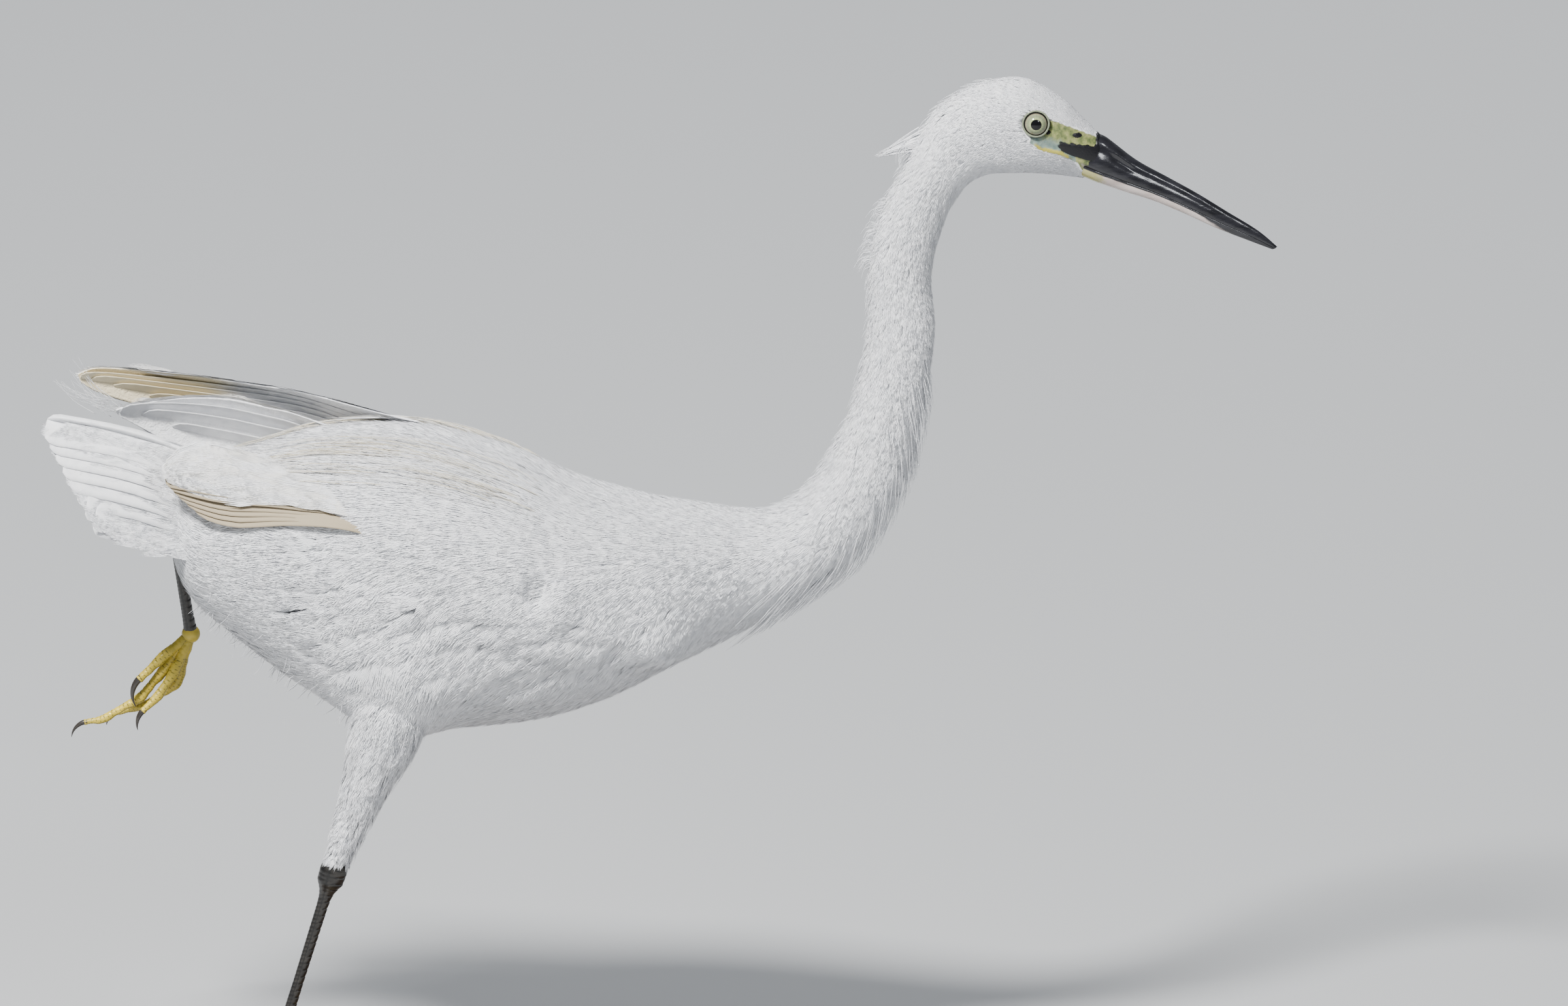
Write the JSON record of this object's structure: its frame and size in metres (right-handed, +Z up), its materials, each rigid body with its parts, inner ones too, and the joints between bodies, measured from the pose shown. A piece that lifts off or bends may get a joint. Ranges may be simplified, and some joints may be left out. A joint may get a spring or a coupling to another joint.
{
  "type": "little egret model",
  "caption": "Life-size little egret in a wading stride, white with a black bill and yellow feet, on a flat display base.",
  "frame": {"origin": "middle of the display base's underside", "axes": "+X forwards along the bird's trunk towards the bill tip, +Y to the bird's left, +Z up"},
  "size_m": [0.5144, 0.17, 0.4472],
  "materials": {
    "feathers": "soft matte white plumage",
    "bill": "glossy black horn, pale at the base of the lower mandible",
    "eye": "wet, pale yellow iris with a black pupil",
    "leg": "scaly black skin",
    "foot": "scaly yellow skin",
    "claw": "dark horn",
    "stand": "dark stained wood, satin"
  },
  "bodies": {
    "root": {"torso": "feathers", "neck_lower": "feathers", "neck_middle": "feathers", "neck_upper": "feathers", "head": "feathers", "wing_right": "feathers", "wing_left": "feathers", "tail": "feathers", "thigh_right": "feathers", "thigh_left": "feathers", "bill_upper": "bill", "bill_lower": "bill", "eye_right": "eye", "eye_left": "eye", "tarsus_right": "leg", "tarsus_left": "leg", "foot_right": "foot", "foot_left": "foot", "claw_right_middle": "claw", "claw_right_outer": "claw", "claw_right_inner": "claw", "claw_right_hallux": "claw", "claw_left_middle": "claw", "claw_left_outer": "claw", "claw_left_inner": "claw", "claw_left_hallux": "claw", "stand_base": "stand"}
  },
  "joints": []
}
